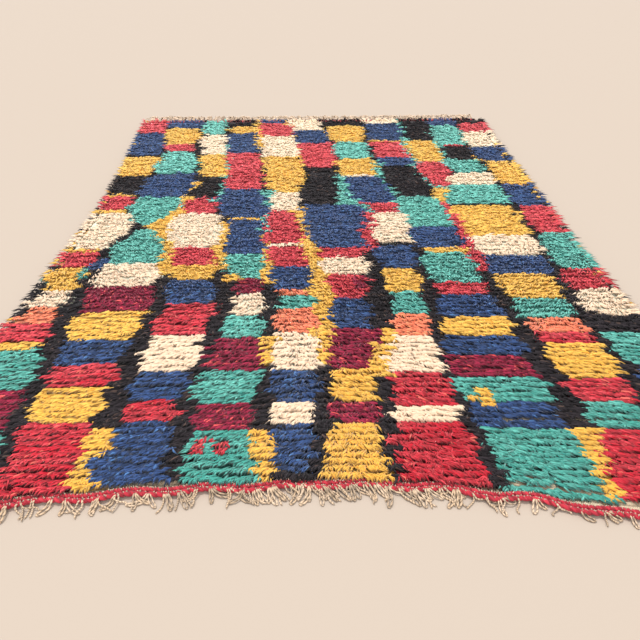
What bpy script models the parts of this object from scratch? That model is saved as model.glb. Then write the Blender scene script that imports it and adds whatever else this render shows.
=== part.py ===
"""Azilal rug: a hand-knotted wool rug with a long shaggy pile tied in rows, lying flat on the floor.

Metres, +Z up. The origin is on the floor under the middle of the rug. +Y runs along the rug to its far
end, +X to its right side. The pile and the cloth that it is tied into are one solid. Each end has a flat
woven web whose warps hang out as fringe, and a red twined band lies on that web.
"""

import math
import random
from collections import namedtuple

import bmesh
import bpy
from mathutils import Vector, noise

# The pile: rows of knots across the rug, each row a soft ridge that leans to the near end.
ROWS = 137
CREST_HEIGHT = 0.0240
VALLEY_DEPTH = 0.0075
LUMP_HEIGHT = 0.0030
LUMP_PITCH = 0.11
FINE_LUMP_PITCH = 0.048
FINE_LUMP_SHARE = 0.6
VALLEY_UNEVENNESS = 0.0009
RIM_HEIGHT = 0.0100
RIM_WIDTH = 0.018
CREST_LEAN = 0.0015
MIDDLE_COLUMNS = 10

# Locks of pile that stand out past the two long sides, one to every few rows.
ROWS_PER_LOCK = 4
LOCK_LENGTH = 0.013
LOCK_LENGTH_SPREAD = 0.005
LOCK_DROOP = 0.004
LOCK_TIP_HEIGHT = 0.0045

# The flat woven web at each end, and the band on it.
GAP = 0.0003
WEB_THICKNESS = 0.0025
BAND_WIDTH = 0.0115
BAND_THICKNESS = 0.0062
BAND_WAIST = 0.8
BAND_INSET = 0.0010
BAND_SLOPE = 0.0025
NEAR_TWIST_PITCH = 0.016
FAR_TWIST_PITCH = 0.032

# The fringe: the warps, left in clumps of three.
STRANDS_PER_CLUMP = 3
NEAR_CLUMPS_PER_COLUMN = 4
FAR_CLUMPS_PER_COLUMN = 3
STRAND_WIDTH = 0.0036
STRAND_SPACING = 0.0055
STRAND_HEIGHT = 0.0028
SHORTEST_STRAND = 0.85
NEAR_STRAND_LENGTH = 0.050
FAR_STRAND_LENGTH = 0.042
FAN_ANGLE = math.radians(15)
LEAN_ANGLE = math.radians(9)
LEAN_PITCH = 1.6
CURL_ANGLE = math.radians(4)

# A strand has two straight steps: the share of its length, of its curl, and of its thickness at the end.
StrandStep = namedtuple("StrandStep", "length curl thickness")
STRAND_STEPS = (StrandStep(0.45, 0.0, 0.85), StrandStep(0.55, 1.0, 0.60))

# The near end bows away in the middle and ripples. The line is the outer edge of the web.
End = namedtuple("End", "across line web_width")
NEAR_END = (
    End(-0.765, -1.074, 0.020),
    End(-0.500, -1.042, 0.020),
    End(-0.250, -1.026, 0.020),
    End(0.000, -1.020, 0.020),
    End(0.150, -1.034, 0.020),
    End(0.300, -1.068, 0.022),
    End(0.500, -1.116, 0.027),
    End(0.780, -1.188, 0.027),
)
RIPPLE_HEIGHT = 0.004
RIPPLE_PITCH = 0.140
RIPPLE_CREST = 0.055

# The far end is nearly straight.
FAR_END = (
    End(-0.770, 1.182, 0.018),
    End(-0.300, 1.176, 0.018),
    End(0.200, 1.172, 0.018),
    End(0.770, 1.178, 0.018),
)

# The long sides wander.
Side = namedtuple("Side", "along left right")
SIDES = (
    Side(-1.19, -0.762, 0.770),
    Side(-0.86, -0.766, 0.768),
    Side(-0.51, -0.764, 0.762),
    Side(-0.31, -0.752, 0.752),
    Side(-0.11, -0.735, 0.742),
    Side(0.23, -0.716, 0.746),
    Side(0.53, -0.720, 0.742),
    Side(0.83, -0.736, 0.740),
    Side(1.19, -0.752, 0.750),
)

# Colours: red, green, blue, as linear values.
PILE_COLOUR = (0.42, 0.035, 0.045)
BAND_COLOUR = (0.48, 0.030, 0.045)
WARP_COLOUR = (0.60, 0.47, 0.32)


def read_table(table, at, column):
    """A table's named column at a place along its first one, with soft bends at the stations."""
    if at <= table[0][0]:
        return getattr(table[0], column)
    for before, after in zip(table, table[1:]):
        if at <= after[0]:
            t = (at - before[0]) / (after[0] - before[0])
            soft = 0.5 * t + 0.5 * t * t * (3 - 2 * t)
            start, stop = getattr(before, column), getattr(after, column)
            return start + (stop - start) * soft
    return getattr(table[-1], column)


def near_front(x):
    ripple = RIPPLE_HEIGHT * math.cos(2 * math.pi * (x - RIPPLE_CREST) / RIPPLE_PITCH)
    return read_table(NEAR_END, x, "line") + ripple


def far_end(x):
    return read_table(FAR_END, x, "line")


def pile_start(x):
    return read_table(NEAR_END, x, "line") + read_table(NEAR_END, x, "web_width")


def pile_stop(x):
    return read_table(FAR_END, x, "line") - read_table(FAR_END, x, "web_width")


def pile_place(across, along):
    """The place on the floor of a point of the pile, both shares running from 0 to 1."""
    station = pile_start(0) + (pile_stop(0) - pile_start(0)) * along
    left = read_table(SIDES, station, "left")
    right = read_table(SIDES, station, "right")
    x = left + (right - left) * across
    return x, pile_start(x) + (pile_stop(x) - pile_start(x)) * along


def lumps(x, y):
    """The uneven height of the pile, from -1 to 1."""
    broad = noise.noise(Vector((x, y, 0)) / LUMP_PITCH)
    fine = noise.noise(Vector((x, y, 1)) / FINE_LUMP_PITCH)
    return broad + FINE_LUMP_SHARE * fine


def wool(name, colour, roughness):
    material = bpy.data.materials.new(name)
    material.use_nodes = True
    shader = material.node_tree.nodes["Principled BSDF"]
    shader.inputs["Base Color"].default_value = (*colour, 1)
    shader.inputs["Roughness"].default_value = roughness
    shader.inputs["Metallic"].default_value = 0
    return material


def add_object(name, bm, material):
    bmesh.ops.recalc_face_normals(bm, faces=bm.faces)
    mesh = bpy.data.meshes.new(name)
    bm.to_mesh(mesh)
    bm.free()
    mesh.materials.append(material)
    piece = bpy.data.objects.new(name, mesh)
    bpy.context.scene.collection.objects.link(piece)
    return piece


def column_shares():
    """Where the pile's columns of points stand: one at each rim, one just inside it, the rest evenly."""
    rim = RIM_WIDTH / (SIDES[0].right - SIDES[0].left)
    middle = [rim + (1 - 2 * rim) * i / MIDDLE_COLUMNS for i in range(MIDDLE_COLUMNS + 1)]
    return [0.0, *middle, 1.0]


def pile_field(material):
    """The pile with its ground: a ridge for each row, a rounded rim, and locks past the long sides."""
    rng = random.Random(11)
    bm = bmesh.new()
    shares = column_shares()
    last = len(shares) - 1
    lines = 2 * ROWS
    top, foot = [], []
    for line in range(lines + 1):
        row = line // 2
        is_crest = line % 2 == 1
        top_line, foot_line = [], []
        for i, share in enumerate(shares):
            x, y = pile_place(share, line / lines)
            z = CREST_HEIGHT + LUMP_HEIGHT * lumps(x, y)
            if is_crest:
                y -= CREST_LEAN
            else:
                z -= VALLEY_DEPTH + VALLEY_UNEVENNESS * lumps(y, x)
            at_side = i in (0, last)
            if at_side or line in (0, lines):
                z = RIM_HEIGHT
            if at_side and is_crest and row % ROWS_PER_LOCK == 1:
                outward = -1 if i == 0 else 1
                x += outward * (LOCK_LENGTH + rng.uniform(-1, 1) * LOCK_LENGTH_SPREAD)
                y -= LOCK_DROOP * rng.random()
                z = LOCK_TIP_HEIGHT
            top_line.append(bm.verts.new((x, y, z)))
            on_rim = at_side or line in (0, lines)
            foot_line.append(bm.verts.new((x, y, 0)) if on_rim else None)
        top.append(top_line)
        foot.append(foot_line)
    for a, b in zip(top, top[1:]):
        for i in range(last):
            bm.faces.new((a[i], a[i + 1], b[i + 1], b[i]))
    for i in (0, last):
        for j in range(lines):
            bm.faces.new((top[j][i], top[j + 1][i], foot[j + 1][i], foot[j][i]))
    for j in (0, lines):
        for i in range(last):
            bm.faces.new((top[j][i], top[j][i + 1], foot[j][i + 1], foot[j][i]))
    right_side = [foot[j][last] for j in range(1, lines)]
    left_side = [foot[j][0] for j in range(lines - 1, 0, -1)]
    bm.faces.new((*foot[0], *right_side, *reversed(foot[lines]), *left_side))
    return add_object("pile_field", bm, material)


def add_strand(bm, root, outward, angle, curl, length):
    """A four-sided strand from a root face of the web, level on the floor and curved as it lies."""
    ring = root
    x = 0.5 * (root[0].co.x + root[1].co.x)
    y = 0.5 * (root[0].co.y + root[1].co.y)
    for step in STRAND_STEPS:
        heading = angle + curl * step.curl
        x += math.sin(heading) * length * step.length
        y += outward * math.cos(heading) * length * step.length
        half = 0.5 * STRAND_WIDTH * step.thickness
        side_x, side_y = math.cos(heading) * half, -outward * math.sin(heading) * half
        height = STRAND_HEIGHT * step.thickness
        corners = (
            (x - side_x, y - side_y, 0),
            (x + side_x, y + side_y, 0),
            (x + side_x, y + side_y, height),
            (x - side_x, y - side_y, height),
        )
        following = [bm.verts.new(corner) for corner in corners]
        for i in range(4):
            j = (i + 1) % 4
            bm.faces.new((ring[i], ring[j], following[j], following[i]))
        ring = following
    bm.faces.new(ring)


def web_corners(along):
    """The corners of the pile's end, which the web's inner edge follows point by point."""
    return [pile_place(share, along) for share in column_shares()[1:-1]]


def fringe(name, material, edge, along, outward, clumps, length, seed):
    """A flat woven web with its fringe: strands in clumps, rooted in the web's outer edge."""
    rng = random.Random(seed)
    bm = bmesh.new()
    stops = []
    corners = web_corners(along)
    for (x, y), (next_x, next_y) in zip(corners, corners[1:]):
        for clump in range(clumps):
            share = clump / clumps
            stops.append((x + (next_x - x) * share, y + (next_y - y) * share + outward * GAP))
    stops.append((corners[-1][0], corners[-1][1] + outward * GAP))

    def pair(x, y):
        return bm.verts.new((x, y, 0)), bm.verts.new((x, y, WEB_THICKNESS))

    def wall(a, b):
        return bm.faces.new((a[0], b[0], b[1], a[1]))

    start_front, start_back = pair(stops[0][0], edge(stops[0][0])), pair(*stops[0])
    wall(start_back, start_front)
    for before, stop in zip(stops, stops[1:]):
        middle = 0.5 * (before[0] + stop[0])
        lean = LEAN_ANGLE * math.sin(2 * math.pi * middle / LEAN_PITCH)
        front = [start_front]
        for strand in range(STRANDS_PER_CLUMP):
            place = strand - 0.5 * (STRANDS_PER_CLUMP - 1)
            x = middle + place * STRAND_SPACING
            a = pair(x - 0.5 * STRAND_WIDTH, edge(x - 0.5 * STRAND_WIDTH))
            b = pair(x + 0.5 * STRAND_WIDTH, edge(x + 0.5 * STRAND_WIDTH))
            root = [a[0], b[0], b[1], a[1]]
            angle = lean + place * FAN_ANGLE
            reach = length * rng.uniform(SHORTEST_STRAND, 1.0)
            add_strand(bm, root, outward, angle, CURL_ANGLE * rng.uniform(-1, 1), reach)
            wall(front[-1], a)
            front += [a, b]
        stop_front, stop_back = pair(stop[0], edge(stop[0])), pair(*stop)
        wall(front[-1], stop_front)
        front.append(stop_front)
        wall(stop_back, start_back)
        for level in (0, 1):
            bm.faces.new([p[level] for p in front] + [stop_back[level], start_back[level]])
        start_front, start_back = stop_front, stop_back
    wall(start_front, start_back)
    return add_object(name, bm, material)


def end_band(name, material, edge, along, inward, pitch):
    """A twined band that lies on the web: a low bar, thick and thin by turns where the yarns cross."""
    bm = bmesh.new()
    corners = web_corners(along)
    left, right = corners[0][0], corners[-1][0]
    steps = 2 * round((right - left) / pitch)
    floor = WEB_THICKNESS + GAP
    rings = []
    for step in range(steps + 1):
        x = left + (right - left) * step / steps
        size = 1.0 if step % 2 else BAND_WAIST
        outer = edge(x) + inward * BAND_INSET
        inner = outer + inward * BAND_WIDTH
        height = floor + BAND_THICKNESS * size
        corners = (
            (x, outer, floor),
            (x, inner, floor),
            (x, inner - inward * BAND_SLOPE, height),
            (x, outer + inward * BAND_SLOPE, height),
        )
        rings.append([bm.verts.new(corner) for corner in corners])
    for a, b in zip(rings, rings[1:]):
        for i in range(4):
            j = (i + 1) % 4
            bm.faces.new((a[i], a[j], b[j], b[i]))
    bm.faces.new(rings[0])
    bm.faces.new(rings[-1])
    return add_object(name, bm, material)


def build():
    for old in list(bpy.data.objects):
        bpy.data.objects.remove(old, do_unlink=True)
    pile_wool = wool("pile_wool", PILE_COLOUR, 0.9)
    band_wool = wool("band_wool", BAND_COLOUR, 0.85)
    warp_wool = wool("warp_wool", WARP_COLOUR, 0.85)
    pile_field(pile_wool)
    fringe("near_fringe", warp_wool, near_front, 0, -1, NEAR_CLUMPS_PER_COLUMN, NEAR_STRAND_LENGTH, 21)
    fringe("far_fringe", warp_wool, far_end, 1, 1, FAR_CLUMPS_PER_COLUMN, FAR_STRAND_LENGTH, 22)
    end_band("near_end_band", band_wool, near_front, 0, 1, NEAR_TWIST_PITCH)
    end_band("far_end_band", band_wool, far_end, 1, -1, FAR_TWIST_PITCH)


build()
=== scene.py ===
"""Azilal rug: the looks of a hand-knotted wool rug with a long shaggy pile, lying flat on the floor.

Metres, +Z up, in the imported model's frame. The sections follow the weaver: the outline, the chart, the
ground weave, the pile tied into it, and then the web, the twined bands and the fringe of each end.
"""

import math
from collections import namedtuple

import bpy
import numpy as np
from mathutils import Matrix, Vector, noise


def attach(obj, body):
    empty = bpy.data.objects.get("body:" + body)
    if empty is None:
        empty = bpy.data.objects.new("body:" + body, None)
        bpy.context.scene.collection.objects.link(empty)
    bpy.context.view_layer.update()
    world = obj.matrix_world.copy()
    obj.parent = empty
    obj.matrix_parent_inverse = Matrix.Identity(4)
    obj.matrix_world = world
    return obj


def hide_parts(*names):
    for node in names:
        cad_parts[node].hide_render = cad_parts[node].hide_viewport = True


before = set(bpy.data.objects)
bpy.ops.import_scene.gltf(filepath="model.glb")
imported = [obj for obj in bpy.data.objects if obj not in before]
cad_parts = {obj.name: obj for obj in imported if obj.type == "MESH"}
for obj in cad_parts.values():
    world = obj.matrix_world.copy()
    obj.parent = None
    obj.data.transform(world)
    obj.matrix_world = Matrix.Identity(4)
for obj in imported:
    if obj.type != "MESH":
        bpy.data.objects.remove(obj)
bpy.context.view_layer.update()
bpy.ops.object.select_all(action="DESELECT")
rng = np.random.default_rng(2157)

# The outline. The rug is tied on a loom by hand, so its long sides wander and its near end bows. These
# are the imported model's own lines, in metres, with the near end's middle let out by up to 9 mm.
ROWS = 137
KNOTS = 152

End = namedtuple("End", "across line web_width")
NEAR_END = (
    End(-0.765, -1.083, 0.020),
    End(-0.500, -1.052, 0.020),
    End(-0.250, -1.035, 0.020),
    End(0.000, -1.029, 0.020),
    End(0.150, -1.040, 0.020),
    End(0.300, -1.068, 0.022),
    End(0.500, -1.116, 0.027),
    End(0.780, -1.188, 0.027),
)
FAR_END = (
    End(-0.770, 1.182, 0.018),
    End(-0.300, 1.176, 0.018),
    End(0.200, 1.172, 0.018),
    End(0.770, 1.178, 0.018),
)
RIPPLE_HEIGHT = 0.004
RIPPLE_PITCH = 0.140
RIPPLE_CREST = 0.055

Side = namedtuple("Side", "along left right")
SIDES = (
    Side(-1.19, -0.762, 0.770),
    Side(-0.86, -0.766, 0.768),
    Side(-0.51, -0.764, 0.762),
    Side(-0.31, -0.752, 0.752),
    Side(-0.11, -0.735, 0.742),
    Side(0.23, -0.716, 0.746),
    Side(0.53, -0.720, 0.742),
    Side(0.83, -0.736, 0.740),
    Side(1.19, -0.752, 0.750),
)


def read_table(table, at, column):
    """A table's named column at places along its first one, with soft bends at the stations."""
    stations = np.array([row[0] for row in table])
    values = np.array([getattr(row, column) for row in table])
    at = np.clip(at, stations[0], stations[-1])
    step = np.clip(np.searchsorted(stations, at) - 1, 0, len(stations) - 2)
    t = (at - stations[step]) / (stations[step + 1] - stations[step])
    soft = 0.5 * t + 0.5 * t * t * (3 - 2 * t)
    return values[step] + (values[step + 1] - values[step]) * soft


def near_front(x):
    ripple = RIPPLE_HEIGHT * np.cos(2 * np.pi * (x - RIPPLE_CREST) / RIPPLE_PITCH)
    return read_table(NEAR_END, x, "line") + ripple


def far_front(x):
    return read_table(FAR_END, x, "line")


def pile_start(x):
    return read_table(NEAR_END, x, "line") + read_table(NEAR_END, x, "web_width")


def pile_stop(x):
    return read_table(FAR_END, x, "line") - read_table(FAR_END, x, "web_width")


def pile_place(across, along):
    """Places on the floor of points of the pile, both shares running from 0 to 1."""
    station = pile_start(0) + (pile_stop(0) - pile_start(0)) * along
    left = read_table(SIDES, station, "left")
    right = read_table(SIDES, station, "right")
    x = left + (right - left) * across
    return x, pile_start(x) + (pile_stop(x) - pile_start(x)) * along


# The rows of knots. They run nearly straight across the loom, though the near end bows, so short rows fill
# its two sides, and one row follows the end itself. Here and there two rows have parted.
ROW_PITCH = (pile_stop(0.0) - pile_start(0.0)) / ROWS
SHORT_ROWS = 11
BOW_KEPT = 0.2
FIRST_ROOM = 1.0
SETTLED_ROOM = 1.35
SETTLING = 0.6
SETTLED_ROWS = 2.5
END_ROW = -SHORT_ROWS - 1

# How far the end's own row is from the web, in row pitches.
EndRowPlace = namedtuple("EndRowPlace", "across place")
END_ROW_PLACES = (
    EndRowPlace(-0.47, 0.35),
    EndRowPlace(-0.40, 0.75),
    EndRowPlace(-0.30, 0.75),
    EndRowPlace(-0.24, 0.35),
    EndRowPlace(0.20, 0.35),
    EndRowPlace(0.30, 0.85),
    EndRowPlace(0.50, 1.15),
    EndRowPlace(0.60, 1.50),
)

# Where two rows have parted: after which row, from where to where, how wide the gap is, and how much of its
# height the row before it has lost. The row behind loses half as much.
Parting = namedtuple("Parting", "row left right gap flattened")
PARTINGS = (
    Parting(END_ROW, 0.27, 0.50, 0.0080, 0.50),
    Parting(9, 0.31, 0.70, 0.0010, 0.45),
)
END_PARTING_PLACE = 1.3
PARTING_TAPER = 0.03
PUSHED_ROWS = 1.5
BEHIND_SHARE = 0.5
BARE_PLACE = 0.2


def row_line(row, x):
    """Where a row runs: it keeps a little of the near end's bow, which fades towards the far end."""
    bow = pile_start(x) - pile_start(0.0)
    return pile_start(0.0) + ROW_PITCH * (row + 0.5) + BOW_KEPT * bow * (1 - row / ROWS)


def parting_line(parting, x):
    if parting.row == END_ROW:
        return pile_start(x) + END_PARTING_PLACE * ROW_PITCH
    return row_line(parting.row + 0.5, x)


def parting_share(parting, x):
    """How open a parting is at places across the rug, 0 to 1."""
    return np.clip(np.minimum(x - parting.left, parting.right - x) / PARTING_TAPER, 0, 1)


def place_knots():
    """Each knot's place, which knots the end leaves room for, and how flat. The end's own row is first."""
    middles = (np.arange(KNOTS) + 0.5) / KNOTS
    rows = np.arange(END_ROW, ROWS)[:, None]
    station = pile_start(0.0) + ROW_PITCH * (rows + 0.5)
    left = read_table(SIDES, station, "left")
    right = read_table(SIDES, station, "right")
    x = left + (right - left) * middles
    y = row_line(rows, x)
    y[0] = pile_start(x[0]) + read_table(END_ROW_PLACES, x[0], "place") * ROW_PITCH
    room = (y - pile_start(x)) / ROW_PITCH
    has_room = room > FIRST_ROOM
    has_room[0] = True
    first = 1 + np.argmax(has_room[1:], 0)
    spare = room[first, np.arange(KNOTS)] - SETTLED_ROOM
    place = np.arange(len(rows))[:, None] - first
    settling = SETTLING * np.clip(1 - place / SETTLED_ROWS, 0, 1) * (place >= 0)
    y -= spare * settling * ROW_PITCH
    flattened = np.zeros(y.shape)
    for parting in PARTINGS:
        away = y - parting_line(parting, x)
        share = parting_share(parting, x)
        pushed = np.clip(PUSHED_ROWS - np.abs(away) / ROW_PITCH, 0, 1)
        y += 0.5 * parting.gap * np.sign(away) * share * pushed
        beside = np.where(away < 0, 1.0, BEHIND_SHARE) * (np.abs(away) < ROW_PITCH)
        flattened = np.maximum(flattened, parting.flattened * share * beside)
    return x, y, has_room, flattened


knot_x, knot_y, has_room, knot_flattened = place_knots()

# The lie of the pile. Feet have combed it, so the ends of a stretch lie one way: aslant over their row at
# the near end, where a row looks like a rope, and more upright and mixed towards the far end.
ROPE_LEAN = 0.010
FAR_REACH = 0.0260
SHOWN_SHARE = 0.6
ROPE_STATIONS = (-0.8, -0.5, -0.2, 0.4)
ROPE_SHARES = (0.90, 0.65, 0.32, 0.05)
COMB_FALL = 1.5
COMB_SOFTNESS = 0.0005

# Which way the pile lies, in degrees from straight towards the near end; positive leans to the right.
# Flatness is how much it is trodden down, and order is how much a row keeps together as a rope.
Comb = namedtuple("Comb", "across along lean flatness order")
COMBS = (
    Comb(-0.66, -1.04, -48, 0.1, 0.35),
    Comb(-0.65, -0.94, -52, 0.1, 0.55),
    Comb(-0.60, -0.75, -68, 0.1, 1.00),
    Comb(-0.38, -0.98, -48, 0.0, 0.52),
    Comb(-0.30, -0.90, -62, 0.0, 0.90),
    Comb(-0.35, -0.75, -66, 0.0, 1.00),
    Comb(-0.22, -0.94, -42, 0.0, 0.60),
    Comb(-0.08, -0.92, -30, 0.0, 0.60),
    Comb(0.05, -0.92, 20, 0.0, 0.65),
    Comb(0.25, -0.95, 40, 0.0, 0.78),
    Comb(0.42, -1.00, 52, 0.1, 0.75),
    Comb(0.65, -1.00, 62, 0.1, 0.95),
    Comb(-0.20, -0.70, -60, 0.0, 0.90),
    Comb(0.05, -0.72, 40, 0.0, 0.80),
    Comb(0.35, -0.70, 62, 0.0, 0.95),
    Comb(0.65, -0.70, 60, 0.0, 0.90),
    Comb(-0.55, -0.50, -62, 0.2, 0.90),
    Comb(-0.30, -0.45, -58, 0.2, 0.80),
    Comb(0.00, -0.48, 45, 0.0, 0.60),
    Comb(0.30, -0.48, 58, 0.0, 0.80),
    Comb(-0.50, -0.25, 55, 0.4, 0.50),
    Comb(-0.20, -0.25, 45, 0.3, 0.40),
    Comb(0.10, -0.30, 35, 0.0, 0.40),
    Comb(0.50, -0.35, -50, 0.1, 0.80),
    Comb(-0.50, 0.10, 50, 0.2, 0.50),
    Comb(0.00, 0.10, -30, 0.1, 0.40),
    Comb(0.45, 0.10, 50, 0.1, 0.70),
    Comb(-0.40, 0.70, -30, 0.1, 0.40),
    Comb(0.10, 0.70, 25, 0.1, 0.40),
    Comb(0.50, 0.70, -25, 0.1, 0.40),
)


def combed(x, y, column):
    """The comb table's named column at places, blended by nearness."""
    total = np.zeros(len(x))
    weights = np.zeros(len(x))
    for comb in COMBS:
        distance = (x - comb.across) ** 2 + (y - comb.along) ** 2
        weight = 1 / (distance**COMB_FALL + COMB_SOFTNESS)
        total += weight * getattr(comb, column)
        weights += weight
    return total / weights


def rope_share(x, y):
    """How much the pile lies in ropes: most at the near end, and little past the middle."""
    return np.interp(y, ROPE_STATIONS, ROPE_SHARES) * combed(x, y, "order")


def carried(x, y):
    """How far aside and along the rug the pile shows its colour from where it is tied."""
    lean = np.radians(combed(x, y, "lean"))
    rope = rope_share(x, y)
    reach = FAR_REACH * SHOWN_SHARE * (1 - rope)
    return np.sin(lean) * reach, -np.cos(lean) * reach - ROPE_LEAN * rope


# The weaver's chart. Blocks of dyed yarn stack up in columns that wander as the work goes on, with seams
# of outline yarn between them. A column's blocks are counted in rows from its own near end, and its edges
# are in centimetres at the stations.
YARNS = ("red", "blue", "gold", "teal", "cream", "black", "burgundy", "coral")
CHART_MIDDLE = 5.5
STATIONS = (0, 18, 38, 57, 67, 76, 77, 95, 115, 136)

Column = namedtuple("Column", "first left right blocks seam")
OPEN = (None,) * len(STATIONS)
COLUMNS = (
    Column(
        0,
        OPEN,
        (-57, -57, -60, -57, -52, -56, -56, -54, -55, -59),
        "teal 11, burgundy 8, teal 9, gold 2, red 5, coral 4, cream 5, gold 8, red 6, gold 1, cream 16, "
        "gold 2, red 6, gold 1, black 11, gold 13, black 1, blue 17, red 11",
        "black 51, blue 4, black 82",
    ),
    Column(
        0,
        (-54, -55, -56, -55, -49, -57, -57, -54, -55, -59),
        (-41.5, -40, -38, -39, -47, -40, -40, -38, -43, -43),
        "red 11, gold 7, red 5, blue 6, gold 8, burgundy 8, cream 8, teal 14, gold 1, teal 14, blue 14, "
        "teal 16, red 5, gold 13, blue 7",
        "gold 10, black 39, gold 43, black 45",
    ),
    Column(
        0,
        (-36, -36.5, -35, -38, -42, -38, -38, -37, -41, -43),
        (-25.5, -24, -22, -25, -24, -29, -29, -27, -31, -33),
        "blue 11, red 4, blue 6, cream 8, red 9, blue 8, gold 5, red 7, cream 15, red 8, black 13, "
        "gold 15, cream 16, teal 12",
        "black 49, gold 20, black 10, teal 38, black 20",
    ),
    Column(
        0,
        (-21.8, -23, -18, -23, -23, -28, -28, -27, -30, -32),
        (-10, -9, -10, -11, -13, -12, -12, -15, -18, -20),
        "teal 8, burgundy 5, teal 7, burgundy 8, teal 6, cream 7, burgundy 5, teal 9, blue 15, gold 1, "
        "blue 15, red 24, blue 16, gold 6, black 5",
        "gold 8, black 13, gold 7, black 16, gold 20, teal 21, black 28, gold 24",
    ),
    Column(
        0,
        (-6.5, -7.5, -7, -11, -12, -10, -10, -14, -16, -19),
        (1.5, 3, 3, 1, -1, -2, -2, 1, -2, -6),
        "black 1, blue 8, cream 4, blue 7, cream 9, coral 7, teal 4, coral 2, blue 8, red 8, cream 1, "
        "red 15, cream 10, gold 23, cream 16, red 12, blue 2",
        "black 21, gold 55, black 30, gold 31",
    ),
    Column(
        0,
        (4, 5, 7, 3, 0, 0, 0, 2, -2, -5),
        (14.2, 14.6, 17, 18, 19, 19, 12, 12, 14, 7),
        "gold 9, burgundy 4, gold 7, burgundy 10, blue 9, red 8, cream 6, red 4, blue 20, black 22, "
        "red 18, blue 11, cream 9",
        "black 18, gold 11, black 27, red 17, teal 22, black 42",
    ),
    Column(
        0,
        (16.6, 17.4, 22, 20, 22, 22, 17, 13, 12, 9),
        (32, 30, 30, 32, 33, 31, 31, 28, 26, 27),
        "red 10, cream 3, red 7, cream 9, coral 6, teal 6, gold 8, blue 9, black 1, cream 14, red 5, "
        "blue 15, cream 1, gold 11, teal 13, gold 14, black 5",
        "black 60, teal 44, black 33",
    ),
    Column(
        0,
        (34, 31, 33, 33, 33, 33, 33, 29, 27, 28),
        (51, 50, 48, 47, 47, 46, 46, 43, 41, 43),
        "teal 10, blue 5, teal 5, burgundy 5, blue 5, gold 5, blue 7, red 3, teal 11, "
        "gold 2, blue 9, teal 15, black 18, blue 6, red 12, gold 1, blue 15, cream 3",
        "gold 10, black 39, red 30, gold 8, teal 50",
    ),
    Column(
        87,
        (50, 50, 50, 50, 50, 50, 50, 43, 42, 44),
        (50, 50, 50, 50, 50, 50, 50, 54, 54, 54),
        "black 87, red 17, gold 15, black 18",
        "black 100, teal 20, black 17",
    ),
    Column(
        0,
        (54, 54.5, 52, 49, 49, 47, 47, 54, 55, 56),
        (67, 68, 66, 69, 69, 69, 69, 68, 67, 68),
        "red 12, teal 5, red 5, gold 7, red 3, coral 4, teal 6, gold 8, blue 6, cream 8, gold 14, "
        "black 1, teal 10, cream 7, teal 9, black 9, red 1, teal 17, blue 5",
        "black 104, gold 10, black 23",
    ),
    Column(
        0,
        (70, 70, 69, 70, 70, 70, 70, 69, 66, 69),
        OPEN,
        "teal 7, burgundy 8, gold 8, blue 3, teal 8, black 5, cream 7, red 7, teal 13, red 13, blue 11, "
        "gold 14, blue 11, cream 11, red 8, black 3",
        "black 137",
    ),
)

# Small spots that the weaver tied into a block, in rows counted at the rug's middle.
Spot = namedtuple("Spot", "yarn first last left right")
SPOTS = (
    Spot("red", 4, 5, -21.2, -19.2),
    Spot("red", 6, 6, -20.0, -19.2),
    Spot("red", 4, 5, -17.3, -15.3),
    Spot("red", 6, 6, -17.8, -16.9),
    Spot("blue", 0, 1, -38.0, -34.0),
    Spot("blue", 2, 3, -39.3, -34.0),
    Spot("blue", 4, 4, -37.6, -34.0),
    Spot("gold", END_ROW, 0, 3.0, 15.2),
    Spot("teal", END_ROW, END_ROW, 34.5, 53.5),
    Spot("red", END_ROW, END_ROW, 53.5, 67.0),
    Spot("gold", 12, 15, 35.0, 37.9),
    Spot("gold", 13, 13, 33.4, 34.3),
    Spot("black", 35, 38, -80.0, -68.2),
    Spot("black", 40, 45, -80.0, -67.2),
    Spot("teal", 46, 47, -80.0, -68.2),
    Spot("teal", 47, 50, -60.5, -58.4),
    Spot("gold", 45, 46, -21.5, -17.0),
    Spot("burgundy", 42, 45, 12.7, 16.4),
    Spot("burgundy", 26, 29, 13.0, 17.8),
    Spot("gold", 26, 29, 17.8, 21.2),
)

# The ends of a spot this narrow, in centimetres, stand up and keep together.
WIDEST_SPOT = 2.5

# A block's side wanders from row to row, and its corners are a little cut. At the rug's own sides some
# knots are tied in an outline yarn, and an open column runs on outside them.
SELVEDGE_KNOTS = (0, 1, -2, -1)
SELVEDGE_YARNS = ("black", "black", "gold")
SELVEDGE_SHARE = 0.16
EDGE_STRAY = 0.55
EDGE_WANDER = 0.9
WANDER_ROWS = 3.5
CORNER_CUT = (1.4, 0.6)
CUT_KEPT = (0.3, 1.0)
OUTSIDE = 1000


def read_rows(text):
    """The yarn of each row, from text such as "teal 11, red 5"."""
    yarns = []
    for part in text.split(", "):
        yarn, count = part.split(" ")
        yarns += [YARNS.index(yarn)] * int(count)
    return yarns


def edge_at(edges, row, side, outside):
    """A column's edge at a row, in centimetres, with the stray of hand-tied rows."""
    if edges is OPEN:
        return outside
    wander = EDGE_WANDER * noise.noise(Vector((row / WANDER_ROWS, side, 0.5)))
    return np.interp(row, STATIONS, edges) + wander + rng.normal(0, EDGE_STRAY)


def corner_cut(blocks, row):
    """How far a block is drawn in at a row that is near its first or last one."""
    for distance, cut in enumerate(CORNER_CUT):
        for other in (row - distance - 1, row + distance + 1):
            if 0 <= other < ROWS and blocks[other] != blocks[row]:
                return cut * rng.uniform(*CUT_KEPT)
    return 0.0


def own_row(row, middle):
    """Which row of a column's own count a row of knots is, where the column's middle is given."""
    pitch = (pile_stop(middle) - pile_start(middle)) / ROWS
    place = row_line(row, middle)
    if row == END_ROW:
        place = pile_start(middle) + 0.5 * ROW_PITCH
    _, along = carried(np.array([middle]), np.array([place]))
    return int(np.clip((place + along[0] + ROPE_LEAN - pile_start(middle)) // pitch, 0, ROWS - 1))


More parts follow.
